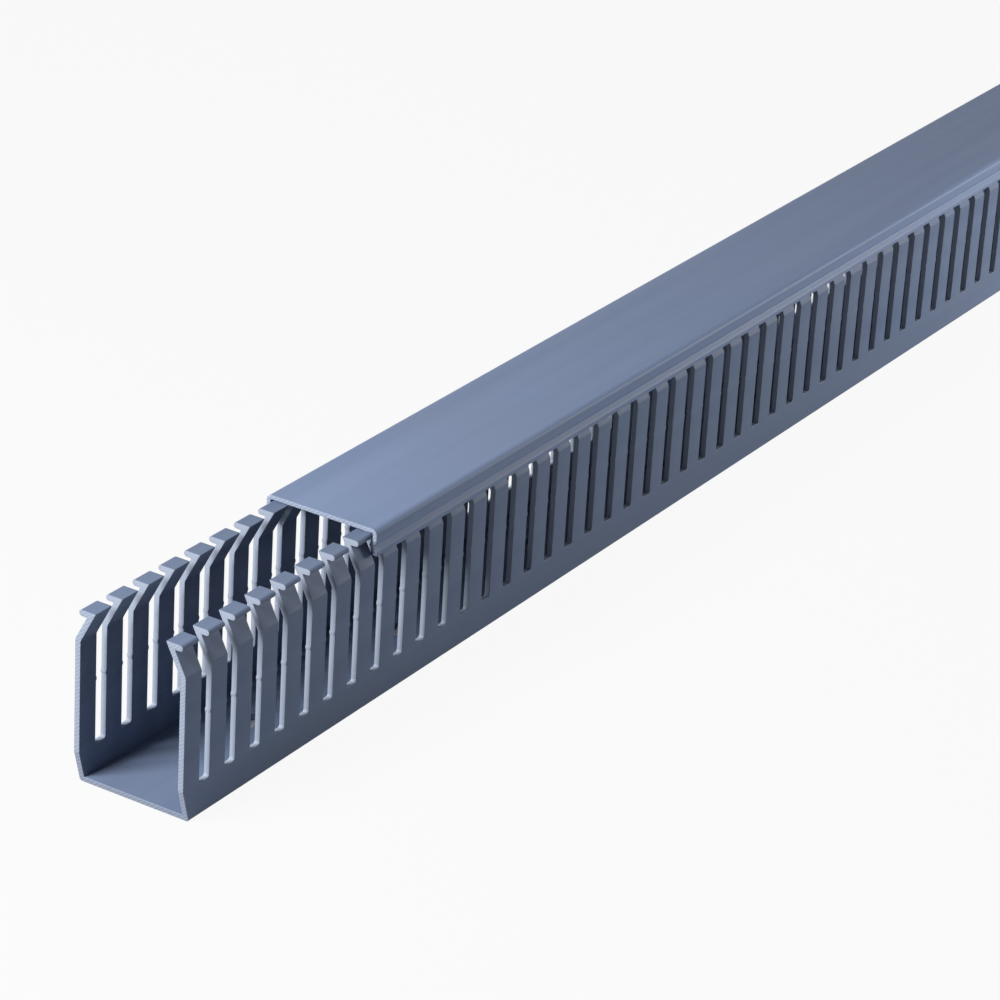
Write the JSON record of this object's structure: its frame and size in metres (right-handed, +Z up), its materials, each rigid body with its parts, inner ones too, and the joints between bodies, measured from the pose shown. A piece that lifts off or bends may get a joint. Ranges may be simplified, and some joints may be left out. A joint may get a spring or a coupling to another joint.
{
  "type": "slotted wire duct",
  "caption": "Straight length of open-slot plastic wiring duct with hooked fingers and a clip-over cover slid partly back.",
  "frame": {"origin": "middle of the duct's underside, halfway along its length and across its width", "axes": "+X along the length, away from the end that the cover is slid back from; +Y across the width; +Z up, out of the open side of the channel"},
  "size_m": [1.0945, 0.0416, 0.06],
  "materials": {
    "duct_pvc": "extruded rigid PVC, satin, blue-grey",
    "cover_pvc": "extruded rigid PVC, satin, blue-grey"
  },
  "bodies": {
    "duct": {"duct": "duct_pvc"},
    "cover": {"cover": "cover_pvc"}
  },
  "joints": [
    {"name": "cover_slide", "type": "slide", "parent": "duct", "child": "cover", "axis": [1, 0, 0], "range_m": [-0.0945, 0.4055]}
  ]
}
